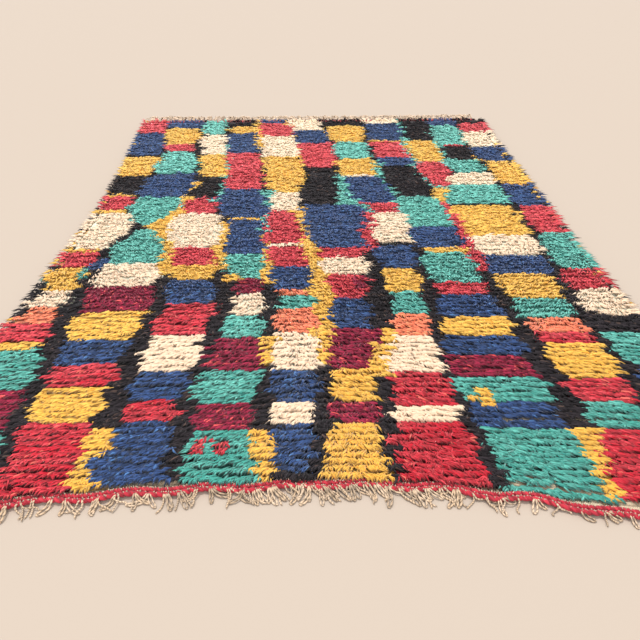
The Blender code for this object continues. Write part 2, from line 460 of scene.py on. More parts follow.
def chart_row(row, across):
    """The yarn of each knot of a row, column by column from the left, and which knots are a spot's."""
    yarns = np.zeros(len(across), int)
    for number, (blocks, seams, middle, column) in enumerate(CHART):
        own = own_row(row, middle)
        if own < column.first:
            continue
        cut = corner_cut(blocks, own)
        left = edge_at(column.left, row, 2.0 * number, -OUTSIDE) + cut
        right = edge_at(column.right, row, 2.0 * number + 1, OUTSIDE) - cut
        yarns[across >= left] = blocks[own]
        yarns[across >= right] = seams[own]
    spotted = np.zeros(len(across), bool)
    for spot in SPOTS:
        if spot.first <= row <= spot.last:
            inside = (across >= spot.left) & (across < spot.right)
            yarns[inside] = YARNS.index(spot.yarn)
            spotted |= inside & (spot.right - spot.left < WIDEST_SPOT)
    return yarns, spotted


CHART = []
for column in COLUMNS:
    left = knot_x[0, 0] if column.left is OPEN else (column.left[0] - CHART_MIDDLE) / 100
    right = knot_x[0, -1] if column.right is OPEN else (column.right[0] - CHART_MIDDLE) / 100
    CHART.append((read_rows(column.blocks), read_rows(column.seam), 0.5 * (left + right), column))

knot_yarn = np.zeros(knot_x.shape, int)
knot_spotted = np.zeros(knot_x.shape, bool)
for line, row in enumerate(range(END_ROW, ROWS)):
    aside, _ = carried(knot_x[line], knot_y[line])
    knot_yarn[line], knot_spotted[line] = chart_row(row, (knot_x[line] + aside) * 100 + CHART_MIDDLE)
    for knot in SELVEDGE_KNOTS:
        if rng.random() < SELVEDGE_SHARE:
            knot_yarn[line, knot] = YARNS.index(rng.choice(SELVEDGE_YARNS))


def yarn_near(x, y):
    """The yarn of the knots nearest to places of the ground weave, a line of places at a time."""
    row = np.round((y - row_line(0, x)) / ROW_PITCH).astype(int)
    line = np.clip(row - END_ROW, 1, len(knot_yarn) - 1)
    line[(y - pile_start(x)) < FIRST_ROOM * ROW_PITCH] = 0
    knot = np.clip((np.arange(len(x)) * KNOTS) // len(x), 0, KNOTS - 1)
    return knot_yarn[line, knot]


def is_parted(x, y):
    """Whether places are in a parting or before the end's own row, where the ground weave shows."""
    end_row_place = read_table(END_ROW_PLACES, x, "place") - BARE_PLACE
    parted = y - pile_start(x) < end_row_place * ROW_PITCH
    for parting in PARTINGS:
        beside = np.abs(y + ROPE_LEAN - parting_line(parting, x)) < ROW_PITCH
        parted |= beside & (parting_share(parting, x) > 0)
    return parted


# The dyes. Each yarn is dyed in small batches, so its first rows and its last ones differ, and single ends
# stray lighter, darker or into the fleck's colour. The far colours are also paler than the dye alone, as
# painted light for the far end's sheen-lit look. Colours are linear red, green, blue.
SHADES = 64
FLECK_SHADES = 4
PLAIN_SHADES = SHADES - FLECK_SHADES

# A dye's near and far colours, its fleck's colour and share, its spread, the light at a strand's root
# (painted shade below 1, painted light above), its sheen, its bulk, and the light in its ply grooves (painted
# shade).
Dye = namedtuple("Dye", "near far fleck fleck_share spread root_light sheen bulk ply_light")
DYES = {
    "red": Dye(
        (0.43, 0.012, 0.026), (0.88, 0.145, 0.165), (0.75, 0.14, 0.11), 0.03, 0.65, 0.55, 0.10, 1.0, 0.50
    ),
    "blue": Dye(
        (0.019, 0.046, 0.132), (0.052, 0.098, 0.236), (0.07, 0.17, 0.38), 0.06, 1.20, 0.55, 0.20, 1.0, 0.50
    ),
    "gold": Dye(
        (0.69, 0.374, 0.056), (0.89, 0.57, 0.128), (0.85, 0.40, 0.05), 0.05, 0.40, 0.80, 0.20, 1.15, 0.66
    ),
    "teal": Dye(
        (0.045, 0.262, 0.214), (0.265, 0.73, 0.620), (0.04, 0.26, 0.22), 0.06, 0.50, 0.55, 0.20, 1.0, 0.55
    ),
    "cream": Dye(
        (0.73, 0.53, 0.37), (0.90, 0.73, 0.53), (0.62, 0.42, 0.27), 0.02, 0.20, 1.15, 0.30, 1.35, 0.90
    ),
    "black": Dye(
        (0.02, 0.015, 0.018), (0.015, 0.011, 0.013), (0.09, 0.055, 0.045), 0.08, 1.0, 0.60, 0.08, 1.0, 0.50
    ),
    "burgundy": Dye(
        (0.25, 0.012, 0.040), (0.24, 0.014, 0.042), (0.70, 0.09, 0.09), 0.06, 0.90, 0.60, 0.15, 1.0, 0.50
    ),
    "coral": Dye(
        (0.80, 0.215, 0.110), (0.86, 0.24, 0.13), (0.85, 0.34, 0.16), 0.10, 0.45, 0.70, 0.20, 1.05, 0.60
    ),
}
WARP_COLOUR = (0.92, 0.74, 0.51)

# How a strand is drawn. The grain is how fine the fibres are round it and along it, and how far apart the
# fibres of two shades are. Its root and its ply grooves are painted darker, as painted shade deep in the pile
# and between the plies, the root less so in the far colour; a root light above 1 paints light there instead.
STRAND_GRAIN = (9.0, 7.0, 5.3)
FIBRE_LIGHT = 0.5
FIBRE_HEIGHT = 0.6
PLY_HEIGHT = 0.7
PLY_GROOVE = 0.55
ROOT_FADING = 0.6
WOOL_RELIEF = 0.0009


def fill(socket, value):
    """Links a socket to another one, or sets its value."""
    if isinstance(value, bpy.types.NodeSocket):
        socket.id_data.links.new(value, socket)
    else:
        socket.default_value = value


def set_up(node, **values):
    """Names in small letters are the node's settings, and the others its sockets, with _ for a space."""
    for name, value in values.items():
        if name.islower():
            setattr(node, name, value)
        else:
            fill(node.inputs[name.replace("_", " ")], value)
    return node


def new_node(tree, kind, **values):
    return set_up(tree.nodes.new("ShaderNode" + kind), **values)


def new_material(name, **values):
    """A material, its tree, and its shader with these values."""
    material = bpy.data.materials.new(name)
    material.use_nodes = True
    shader = set_up(material.node_tree.nodes["Principled BSDF"], **values)
    return material, material.node_tree, shader


def calculate(tree, operation, *values):
    """The result of a Math node."""
    node = new_node(tree, "Math", operation=operation)
    for socket, value in zip(node.inputs, values):
        fill(socket, value)
    return node.outputs[0]


def blend_colours(tree, share, first, second):
    node = new_node(tree, "Mix", data_type="RGBA")
    for number, value in ((0, share), (6, first), (7, second)):
        fill(node.inputs[number], value)
    return node.outputs[2]


def light_up(tree, colour, light):
    """A colour times a light."""
    return new_node(tree, "VectorMath", operation="SCALE", Vector=colour, Scale=light).outputs[0]


def map_place(tree):
    """The place on the piece's own map, and its two parts."""
    place = new_node(tree, "UVMap", uv_map="OFBake").outputs[0]
    split = new_node(tree, "SeparateXYZ", Vector=place)
    return place, split.outputs[0], split.outputs[1]


def fibre_noise(tree, across, along, shade, grain):
    """Fine noise that follows a yarn."""
    x, y, z = (calculate(tree, "MULTIPLY", part, fine) for part, fine in zip((across, along, shade), grain))
    place = new_node(tree, "CombineXYZ", X=x, Y=y, Z=z).outputs[0]
    return new_node(tree, "TexNoise", Scale=1.0, Detail=3.0, Vector=place).outputs["Fac"]


def finish_surface(tree, shader, colour, height, **bump):
    """A shader's colour, and its relief from a height."""
    relief = new_node(tree, "Bump", Height=height, **bump)
    set_up(shader, Base_Color=colour, Normal=relief.outputs["Normal"])


def spun_wool_group():
    """Spun wool along a strand: colour and shade by the map's column, plies, fibre, and painted shade in the
    ply grooves and at the root.

    The map gives each strand one of SHADES columns; across the column runs round the strand, and up it runs
    along the strand.
    """
    tree = bpy.data.node_groups.new("spun_wool", "ShaderNodeTree")
    inputs = {
        "Near Dye": (1, 1, 1, 1),
        "Far Dye": (1, 1, 1, 1),
        "Fleck": (1, 1, 1, 1),
        "Shade Spread": 0.2,
        "Root Light": 0.35,
        "Root Length": 0.42,
        "Plies": 3.0,
        "Turns": 1.0,
        "Ply Light": 0.50,
    }
    for name, value in inputs.items():
        kind = "NodeSocketColor" if isinstance(value, tuple) else "NodeSocketFloat"
        tree.interface.new_socket(name, in_out="INPUT", socket_type=kind).default_value = value
    for name, kind in (("Color", "NodeSocketColor"), ("Height", "NodeSocketFloat")):
        tree.interface.new_socket(name, in_out="OUTPUT", socket_type=kind)
    given = tree.nodes.new("NodeGroupInput").outputs
    result = tree.nodes.new("NodeGroupOutput")

    _, map_across, along = map_place(tree)
    columns = calculate(tree, "MULTIPLY", map_across, SHADES)
    shade = calculate(tree, "FLOOR", columns)
    around = calculate(tree, "FRACT", columns)
    # From the near colour to the far one: dye batches, and the far end's paleness as painted light.
    batch_and_paling = calculate(tree, "DIVIDE", shade, PLAIN_SHADES - 1)
    colour = blend_colours(tree, batch_and_paling, given["Near Dye"], given["Far Dye"])
    is_fleck = calculate(tree, "GREATER_THAN", shade, PLAIN_SHADES - 0.5)
    colour = blend_colours(tree, is_fleck, colour, given["Fleck"])

    own_place = calculate(tree, "ADD", shade, 0.5)
    stray = new_node(tree, "TexWhiteNoise", noise_dimensions="1D", W=own_place).outputs["Value"]
    lighter = calculate(tree, "MULTIPLY", calculate(tree, "SUBTRACT", stray, 0.5), given["Shade Spread"])
    streak = calculate(tree, "SUBTRACT", fibre_noise(tree, around, along, shade, STRAND_GRAIN), 0.5)

    # The ply grooves are painted darker by the ply light: painted shade between the plies.
    turned = calculate(tree, "MULTIPLY", around, given["Plies"])
    wound = calculate(tree, "MULTIPLY", along, given["Turns"])
    angle = calculate(tree, "MULTIPLY", calculate(tree, "ADD", turned, wound), 2 * math.pi)
    ply = calculate(tree, "MULTIPLY_ADD", calculate(tree, "COSINE", angle), 0.5, 0.5)
    groove = new_node(tree, "MapRange", Value=ply, From_Max=PLY_GROOVE, To_Min=given["Ply Light"])

    # The root is painted darker by the root light, or lighter above 1: painted shade deep in the pile, less
    # far off.
    near_dark = calculate(tree, "SUBTRACT", 1.0, given["Root Light"])
    fading = calculate(tree, "MULTIPLY_ADD", batch_and_paling, -ROOT_FADING, 1.0)
    root_light = calculate(tree, "SUBTRACT", 1.0, calculate(tree, "MULTIPLY", near_dark, fading))
    root = new_node(tree, "MapRange", Value=along, From_Max=given["Root Length"], To_Min=root_light)

    light = calculate(tree, "ADD", calculate(tree, "MULTIPLY_ADD", streak, FIBRE_LIGHT, 1.0), lighter)
    light = calculate(tree, "MULTIPLY", light, groove.outputs["Result"])
    light = calculate(tree, "MULTIPLY", light, root.outputs["Result"])
    ply_height = calculate(tree, "MULTIPLY", ply, PLY_HEIGHT)
    height = calculate(tree, "MULTIPLY_ADD", streak, FIBRE_HEIGHT, ply_height)
    set_up(result, Color=light_up(tree, colour, light), Height=height)
    return tree


SPUN_WOOL = spun_wool_group()


def wool_material(name, dye, relief=WOOL_RELIEF, **values):
    """Matt wool with a soft sheen on the strands' edges."""
    material, tree, shader = new_material(
        name,
        Roughness=0.88,
        Specular_IOR_Level=0.25,
        Sheen_Weight=dye.sheen,
        Sheen_Roughness=0.55,
    )
    wool = new_node(
        tree,
        "Group",
        node_tree=SPUN_WOOL,
        Near_Dye=(*dye.near, 1),
        Far_Dye=(*dye.far, 1),
        Fleck=(*dye.fleck, 1),
        Shade_Spread=dye.spread,
        Root_Light=dye.root_light,
        Ply_Light=dye.ply_light,
        **values,
    )
    finish_surface(tree, shader, wool.outputs["Color"], wool.outputs["Height"], Strength=0.7, Distance=relief)
    return material


# The ground weave: undyed warps and wefts, with the back of each knot showing below in its own yarn. It is
# one thin cloth, and the roots of the pile make a low bed on it.
WEAVE_TOP = 0.0032
BED_TOPS = (0.0100, 0.0120)
BED_STATIONS = (-0.7, 0.1)
PARTED_TOP = 0.0055
RIM_TOP = 0.0045
UNDYED = len(YARNS)

# The cloth's map has a column for each yarn and a row for each shade: the backs of the knots first, and
# then the bed, which is painted darker than its yarn near the end as painted shade under the pile, and
# lighter towards the far end as painted light.
MAP_YARNS = 10
MAP_SHADES = 16
MAP_INSET = 0.04
KNOT_SHADES = 8
BED_LIGHTS = (0.55, 1.3)
BED_ROOT_LIGHT = 0.6
BED_LIGHTEST = 0.9
BED_CORNERS = ((0.15, 0.35), (0.35, 0.35), (0.35, 0.65), (0.15, 0.65))
TILE_CORNERS = ((0, 0), (0, 1), (1, 1), (1, 0))
END_CORNERS = ((1, 1), (0, 1), (0, 0), (0.5, 0), (1, 0))

# How the cloth is drawn. A light of two numbers is a factor and what is added to it.
CLOTH_FINISH = {"Roughness": 0.9, "Specular_IOR_Level": 0.2, "Sheen_Weight": 0.15}
CLOTH_GRAIN = (5.0, 14.0, 3.7)
CLOTH_FIBRE_LIGHT = (0.7, 0.35)
CLOTH_FIBRE_HEIGHT = 0.4
CLOTH_RELIEF = 0.0015
KNOT_LIGHT = (0.5, 0.6)
KNOT_ROUNDING = 0.5
KNOT_EDGE = 0.42


def ground_weave_material():
    material, tree, shader = new_material("ground_weave", **CLOTH_FINISH)
    _, map_across, map_along = map_place(tree)
    shades = calculate(tree, "MULTIPLY", map_along, MAP_SHADES)
    across = calculate(tree, "FRACT", calculate(tree, "MULTIPLY", map_across, MAP_YARNS))
    along = calculate(tree, "FRACT", shades)
    shade = calculate(tree, "FLOOR", shades)

    dyes = new_node(tree, "ValToRGB", Fac=map_across)
    stops = dyes.color_ramp.elements
    dyes.color_ramp.interpolation = "CONSTANT"
    # The yarns' colours, scaled by their root light for the bed and the knots' backs alike: painted light in
    # pale wool, painted shade in dark.
    colours = [np.multiply(dye.near, dye.root_light / BED_ROOT_LIGHT) for dye in DYES.values()]
    for number, colour in enumerate((*np.clip(colours, 0, BED_LIGHTEST), WARP_COLOUR)):
        stop = stops[0] if number == 0 else stops.new(number / MAP_YARNS)
        stop.position = number / MAP_YARNS
        stop.color = (*colour, 1)
    stops.remove(stops[-1])

    # Two humps to a knot, where its yarn goes round two warps, and a weft on each side of the row.
    humps = calculate(tree, "SINE", calculate(tree, "MULTIPLY", across, 2 * math.pi))
    humps = calculate(tree, "ABSOLUTE", humps)
    rib = calculate(tree, "SINE", calculate(tree, "MULTIPLY", along, math.pi))
    knot = calculate(tree, "MULTIPLY", calculate(tree, "POWER", humps, KNOT_ROUNDING), rib)
    is_knot = calculate(tree, "GREATER_THAN", knot, KNOT_EDGE)
    colour = blend_colours(tree, is_knot, (*WARP_COLOUR, 1), dyes.outputs[0])
    fibre = fibre_noise(tree, across, along, shade, CLOTH_GRAIN)
    light = calculate(tree, "MULTIPLY_ADD", fibre, *CLOTH_FIBRE_LIGHT)
    # Each knot is painted lighter on its humps and darker between them: painted shade.
    light = calculate(tree, "MULTIPLY", light, calculate(tree, "MULTIPLY_ADD", knot, *KNOT_LIGHT))
    # The bed's shades step its colour darker near the end and lighter far off: painted shade and painted
    # light.
    bed = new_node(
        tree,
        "MapRange",
        interpolation_type="STEPPED",
        Value=shade,
        From_Min=KNOT_SHADES,
        From_Max=MAP_SHADES - 1,
        To_Min=BED_LIGHTS[0],
        To_Max=BED_LIGHTS[1],
        Steps=KNOT_SHADES - 1,
    )
    is_bed = calculate(tree, "GREATER_THAN", shade, KNOT_SHADES - 0.5)
    darker = calculate(tree, "SUBTRACT", bed.outputs["Result"], 1.0)
    light = calculate(tree, "MULTIPLY", light, calculate(tree, "MULTIPLY_ADD", is_bed, darker, 1.0))
    height = calculate(tree, "MULTIPLY_ADD", fibre, CLOTH_FIBRE_HEIGHT, knot)
    finish_surface(tree, shader, light_up(tree, colour, light), height, Distance=CLOTH_RELIEF)
    return material


def add_piece(name, vertices, faces, corners_map, material):
    """A piece from points, faces as lists of their numbers, and the place of each corner on the map."""
    mesh = bpy.data.meshes.new(name)
    mesh.from_pydata(vertices, [], faces)
    mesh.update()
    layer = mesh.uv_layers.new(name="OFBake")
    layer.uv.foreach_set("vector", np.asarray(corners_map, np.float32).ravel())
    mesh.materials.append(material)
    mesh.shade_smooth()
    piece = bpy.data.objects.new(name, mesh)
    bpy.context.scene.collection.objects.link(piece)
    return piece


def add_face(faces, places, face, corners, turned=False):
    """One more face and its corners on the map, turned over where it would face inwards."""
    step = -1 if turned else 1
    faces.append(face[::step])
    places += corners[::step]


def map_tile(yarn, shade, corners):
    """Corners of a face on the map: yarn and shade pick the tile, and corners are shares of it."""
    kept = 1 - 2 * MAP_INSET
    return [
        ((yarn + MAP_INSET + kept * u) / MAP_YARNS, (shade + MAP_INSET + kept * v) / MAP_SHADES)
        for u, v in corners
    ]


def ground_weave():
    """The underside shows the back of each knot, and the top is the bed of roots that the pile hides."""
    across, along = np.meshgrid(np.arange(KNOTS + 1) / KNOTS, np.arange(ROWS + 1) / ROWS)
    x, y = pile_place(across, along)
    below = np.stack((x, y, 0 * x), -1).reshape(-1, 3)
    top_x, top_y = x[:, ::2], y[:, ::2]
    parted = is_parted(top_x.ravel(), top_y.ravel()).reshape(ROWS + 1, -1)
    bed = np.where(parted, PARTED_TOP, np.interp(top_y, BED_STATIONS, BED_TOPS))
    bed[[0, -1]] = WEAVE_TOP
    bed[:, [0, -1]] = RIM_TOP
    above = np.stack((top_x, top_y, bed), -1).reshape(-1, 3)
    wide = KNOTS + 1
    top_wide = KNOTS // 2 + 1
    first_top = len(below)
    faces, places = [], []
    selvedge = YARNS.index("black")
    for row in range(ROWS):
        middle_x = x[row, :-1]
        middle_y = 0.5 * (y[row, :-1] + y[row + 1, :-1])
        yarn = yarn_near(middle_x, middle_y)
        parted = is_parted(middle_x, middle_y)
        for knot in range(KNOTS):
            a = row * wide + knot
            tile = map_tile(yarn[knot], (row * 5 + knot * 3 + row * knot) % KNOT_SHADES, TILE_CORNERS)
            add_face(faces, places, (a, a + wide, a + wide + 1, a + 1), tile)
        for pair in range(KNOTS // 2):
            a = first_top + row * top_wide + pair
            # The bed's shade rises with the row: painted shade under the pile near the end, painted light far
            # off.
            tile = map_tile(yarn[2 * pair], KNOT_SHADES + row * KNOT_SHADES // ROWS, BED_CORNERS)
            # A parted bed shows the undyed warp, painted a little darker as painted shade in the gap.
            if parted[2 * pair]:
                tile = map_tile(UNDYED, KNOT_SHADES + pair % 3, TILE_CORNERS)
            add_face(faces, places, (a, a + 1, a + top_wide + 1, a + top_wide), tile)
        for knot, top in ((0, 0), (KNOTS, top_wide - 1)):
            a = first_top + row * top_wide + top
            b = row * wide + knot
            tile = map_tile(selvedge, row % KNOT_SHADES, BED_CORNERS[::-1])
            add_face(faces, places, (a, a + top_wide, b + wide, b), tile, knot > 0)
    for line in (0, ROWS):
        for pair in range(KNOTS // 2):
            a = first_top + line * top_wide + pair
            below_line = [line * wide + 2 * pair + step for step in range(3)]
            tile = map_tile(UNDYED, pair % KNOT_SHADES, END_CORNERS)
            add_face(faces, places, (a + 1, a, *below_line), tile, line > 0)
    return add_piece("ground_weave", np.vstack((below, above)), faces, places, ground_weave_material())


weave = ground_weave()
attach(weave, "root")
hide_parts("pile_field")

# The pile: hand-spun wool, tied round pairs of warps and left about 28 mm long. The ends of each row lean
# over the row before it, aslant, so that a row looks like a loose rope with a dark line under it: shadow
# between the rows, and the painted shade at the strands' roots.
CLOSE_ROWS = 15
ROPE_ROWS = 34
CLOSE_ENDS = 8
ROPE_ENDS = 5
LOOSE_ENDS = 4
THICKNESS_STATIONS = (-1.0, 0.9)
HALF_WIDTHS = (0.0023, 0.0026)
THICKNESS_STRAY = (0.60, 1.35)
END_FLATNESS = 0.85
# From near colour to far colour along the rug: dye batches, and the far end's paleness as painted light.
BATCH_AND_PALING_STATIONS = (-1.1, 1.1)
BATCH_AND_PALING_SHARES = (0.1, 0.9)
BATCH_STRAY = 0.10
BATCH_DRIFT = 0.14
BATCH_PITCH = 0.14

# How high the ends stand, and how uneven they are from place to place.
ROOT_HEIGHT = 0.0020
CREST_HEIGHT = 0.0200
CREST_STRAY = 0.0008
CREST_UNEVENNESS = 0.0020
UNEVEN_PITCH = 0.075
DRIFT_SCALE = 1.6
TUFT_PITCH = 0.024
TUFT_UNEVENNESS = 0.0050
ROPE_EVENNESS = 0.7
ROW_WAVE = 0.0032
ROW_SWELL = 0.0026
ROW_WAVE_PITCH = 0.045
ROW_APART = 4.0
LAYERS = 3
LAYER_DROP = 0.10
TRODDEN_DROP = 0.25
TRODDEN_REACH = 0.2
LOOSENED = 0.40
LOOSENED_PITCH = 0.11

# How they lean, in degrees apart from the steepest, which is in radians. The disorder of a place is shared
# by its tufts, and each knot and each end has some of its own.
SWAY = 20
SWAY_PITCH = 0.090
ROPE_DISORDER = 10
LOOSE_DISORDER = 36
END_DISORDER = 11
OWN_DISORDER = 0.35
LEAST_ASLANT = 32
STEEPEST = 1.4
MOST_ASLANT = 1.7
REACH_STRAY = (0.75, 1.20)
ROPE_STRETCH = (0.70, 1.40)
ROPE_SLIDE = 0.12
TIE_STRAY = 0.10
BEND_STRAY = 0.0014
TIP_DROOP = (0.80, 1.15)
GATHER_STATIONS = (-0.9, -0.4)
GATHERED = (0.10, 0.55)

# The knots at the two sides, in the first row and the last one, and in small spots lie in their own way.
SIDE_KNOTS = 2
SIDE_LEANS = (-42, 60)
SIDE_REACHES = (0.9, 1.15)
END_ROW_DROOP = 0.50
END_ROW_STRETCH = 0.8
LAST_ROW_LEAN = -0.45
LAST_ROW_CRESTS = (0.85, 1.40)
SPOT_ROPE = 0.4
SPOT_DISORDER = 6
SPOT_LEAN = 0.3

# An end's shape: how far out and how high. In a rope it arches over its row and counts in row pitches, and
# where the pile is loose it stands up and leans, in shares of its reach.
Bend = namedtuple("Bend", "loose_out loose_height rope_out rope_height width")
ROPE_BENDS = (
    Bend(0.00, 0.00, -0.40, 0.00, 0.0),
    Bend(0.22, 0.80, -0.24, 0.86, 1.0),
    Bend(0.66, 0.92, 0.14, 0.98, 1.0),
    Bend(1.00, 0.90, 0.62, 0.66, 0.0),
)
LOOSE_BENDS = (
    Bend(0.00, 0.00, -0.38, 0.00, 0.0),
    Bend(0.34, 0.76, -0.02, 0.97, 1.0),
    Bend(1.00, 0.92, 0.60, 0.68, 0.0),
)


def drift(x, y, pitch, layer):
    """Smooth unevenness over the floor, about -1 to 1. Each layer is uneven in its own places."""
    raw = np.array([noise.noise(Vector((a / pitch, b / pitch, layer))) for a, b in zip(x, y)])
    return raw * DRIFT_SCALE


def strands(paths, half_widths, flatness, sides, shades, map_steps=None):
    """Tubes with pointed ends that follow paths: points, and then faces and their places on the map.

    paths is (strand, point, 3), half_widths (strand, point) and shades (strand, segment) or (strand, 1).
    The map starts again after each map_steps segments.
    """
    count, points, _ = paths.shape
    rings = points - 2
    tangent = paths[:, 2:] - paths[:, :-2]
    tangent /= np.linalg.norm(tangent, axis=2, keepdims=True)
    sideways = np.cross(tangent, (0.0, 0.0, 1.0))
    sideways /= np.linalg.norm(sideways, axis=2, keepdims=True)
    upright = np.cross(sideways, tangent)
    turn = 2 * np.pi * np.arange(sides) / sides + 0.5 * np.pi
    width = half_widths[:, 1:-1, None, None]
    ring = paths[:, 1:-1, None, :] + width * (
        np.cos(turn)[None, None, :, None] * sideways[:, :, None, :]
        + flatness * np.sin(turn)[None, None, :, None] * upright[:, :, None, :]
    )
    vertices = np.concatenate((paths[:, :1], ring.reshape(count, rings * sides, 3), paths[:, -1:]), 1)

    tip = 1 + rings * sides
    start = np.arange(count)[:, None, None] * (tip + 1)
    side = np.arange(sides)
    shades = np.broadcast_to(shades, (count, points - 1))
    steps = map_steps or points - 1

    def lay(segments, corners):
        """Faces on some segments of every strand. A corner is shares up its segment and across its side."""
        faces, places = [], []
        for up, across in corners:
            ring_start = 1 + (segments[:, None] + up - 1) * sides
            faces.append(start + np.clip(ring_start + (side + int(across)) % sides, 0, tip))
            column = shades[:, segments, None] + MAP_INSET + (1 - 2 * MAP_INSET) * (side + across) / sides
            height = (segments[:, None] % steps + up) / steps + 0 * column
            places.append(np.stack((column / SHADES, height), -1))
        return np.stack(faces, -1).reshape(-1, len(corners)), np.stack(places, -2).reshape(-1, 2)

    laid = (
        lay(np.array([0]), ((0, 0.5), (1, 1), (1, 0))),
        lay(np.array([points - 2]), ((0, 0), (0, 1), (1, 0.5))),
        lay(np.arange(1, points - 2), ((0, 0), (0, 1), (1, 1), (1, 0))),
    )
    return vertices.reshape(-1, 3), laid


def spun(name, sets, material):
    """Sets of strands as one piece."""
    vertices, faces, places = [], [], []
    count = 0
    for points, laid in sets:
        vertices.append(points)
        for kind, corners_map in laid:
            faces += (kind + count).tolist()
            places.append(corners_map)
        count += len(points)
    return add_piece(name, np.concatenate(vertices), faces, np.concatenate(places), material)


def knot_ends(first, last, ends, bends):
    """The ends of all knots of some rows: their yarn, paths, half widths and shades."""
    rows = slice(first, last)
    tied = has_room[rows]
    middle_x, middle_y, yarn = knot_x[rows][tied], knot_y[rows][tied], knot_yarn[rows][tied]
    spotted = knot_spotted[rows][tied]
    knots = len(middle_x)
    at = (middle_x, middle_y)
    in_row = (middle_x, ROW_APART * middle_y)
    loosened = LOOSENED * np.clip(drift(*at, LOOSENED_PITCH, 11.0), 0, 1)
    rope = rope_share(*at) * (1 - loosened) * np.where(spotted, SPOT_ROPE, 1.0)
    disorder = np.where(spotted, SPOT_DISORDER, ROPE_DISORDER + LOOSE_DISORDER * (1 - rope))
    lean = combed(*at, "lean") + SWAY * drift(*at, SWAY_PITCH, 3.0)
    lean += disorder * (OWN_DISORDER * rng.normal(0, 1, knots) + drift(*at, TUFT_PITCH, 5.0))
    knot = np.broadcast_to(np.arange(KNOTS), tied.shape)[tied]
    at_sides = (knot < SIDE_KNOTS, knot >= KNOTS - SIDE_KNOTS)
    lean = np.select(at_sides, SIDE_LEANS, lean)
    lean = np.where(spotted, SPOT_LEAN * lean, lean)
    flatness = combed(*at, "flatness")
    crest = CREST_HEIGHT + CREST_UNEVENNESS * drift(*at, UNEVEN_PITCH, 0.0)
    crest += TUFT_UNEVENNESS * (1 - ROPE_EVENNESS * rope) * drift(*at, TUFT_PITCH, 1.0)
    crest += ROW_SWELL * rope * drift(*in_row, ROW_WAVE_PITCH, 9.0)
    crest = crest * (1 - TRODDEN_DROP * flatness) + rng.normal(0, CREST_STRAY, knots)
    crest = crest * (1 - knot_flattened[rows][tied])
    middle_y = middle_y + ROW_WAVE * drift(*in_row, ROW_WAVE_PITCH, 7.0)
    row = np.broadcast_to(np.arange(len(tied))[:, None] + first, tied.shape)[tied]
    side_reach = np.select(at_sides, SIDE_REACHES, 1.0)

    yarn, rope, lean, flatness, crest, middle_x, middle_y, disorder, side_reach, row = (
        np.repeat(values, ends)
        for values in (yarn, rope, lean, flatness, crest, middle_x, middle_y, disorder, side_reach, row)
    )
    count = len(yarn)
    knot_width = knot_x[0, 1] - knot_x[0, 0]
    place = np.tile((np.arange(ends) + 0.5) / ends - 0.5, knots)
    x = middle_x + (place + rng.normal(0, TIE_STRAY, count)) * knot_width
    y = middle_y + rng.normal(0, TIE_STRAY, count) * ROW_PITCH
    lean = lean + rng.normal(0, 1, count) * (END_DISORDER + OWN_DISORDER * disorder)
    aslant_lean = np.sign(lean) * (LEAST_ASLANT + (1 - LEAST_ASLANT / 90) * np.abs(lean))
    lean = np.radians(rope * aslant_lean + (1 - rope) * lean)
    layer = rng.integers(0, LAYERS, count)
    crest = crest * (1 - LAYER_DROP * layer * rope) + rng.normal(0, CREST_STRAY, count)
    reach = FAR_REACH * (1 + TRODDEN_REACH * flatness) * rng.uniform(*REACH_STRAY, count) * side_reach

    gather = np.interp(y, GATHER_STATIONS, GATHERED) * (1 - rope)
    loose_x = (middle_x - x) * gather + np.sin(lean) * reach
    in_last_row = y > knot_y[-1].min() - 0.5 * ROW_PITCH
    along = np.where(in_last_row, LAST_ROW_LEAN, 1.0)
    crest = np.where(in_last_row, crest * rng.uniform(*LAST_ROW_CRESTS, count), crest)
    loose_y = (middle_y - y) * gather - np.cos(lean) * reach * along
    aslant = np.clip(np.tan(np.clip(lean, -STEEPEST, STEEPEST)), -MOST_ASLANT, MOST_ASLANT) * ROW_PITCH
    stretch = rng.uniform(*ROPE_STRETCH, count) * np.where(row == 0, END_ROW_STRETCH, 1.0)
    slide = rng.normal(0, ROPE_SLIDE, count)
    paths = np.zeros((count, len(bends), 3))
    for point, bend in enumerate(bends):
        rope_out = bend.rope_out * stretch + slide
        rope_x = aslant * rope_out
        rope_y = -ROW_PITCH * rope_out - ROPE_LEAN
        paths[:, point, 0] = x + rope * rope_x + (1 - rope) * loose_x * bend.loose_out
        paths[:, point, 1] = y + rope * rope_y + (1 - rope) * loose_y * bend.loose_out
        paths[:, point, 2] = crest * (rope * bend.rope_height + (1 - rope) * bend.loose_height)
    paths[:, 1:, :2] += rng.normal(0, BEND_STRAY, (count, len(bends) - 1, 2))
    paths[:, 0, 2] = ROOT_HEIGHT
    paths[:, -1, 2] *= np.where(row == 0, END_ROW_DROOP, 1.0) * rng.uniform(*TIP_DROOP, count)
    bulk = np.array([DYES[name].bulk for name in YARNS])[yarn]
    half = bulk * np.interp(y, THICKNESS_STATIONS, HALF_WIDTHS) * rng.uniform(*THICKNESS_STRAY, count)
    widths = half[:, None] * np.array([bend.width for bend in bends])

    # Near to far colour: dye batches, with the far end's paleness as painted light.
    batch_and_paling = np.interp(y, BATCH_AND_PALING_STATIONS, BATCH_AND_PALING_SHARES) + rng.normal(0, BATCH_STRAY, count)
    batch_and_paling += BATCH_DRIFT * drift(x, ROW_APART * y, BATCH_PITCH, 13.0)
    shade = np.clip(np.round(batch_and_paling * (PLAIN_SHADES - 1)), 0, PLAIN_SHADES - 1)
    fleck_share = np.array([DYES[name].fleck_share for name in YARNS])[yarn]
    flecked = rng.random(count) < fleck_share
    shade[flecked] = PLAIN_SHADES + rng.integers(0, FLECK_SHADES, flecked.sum())
    return yarn, paths, widths, shade[:, None]


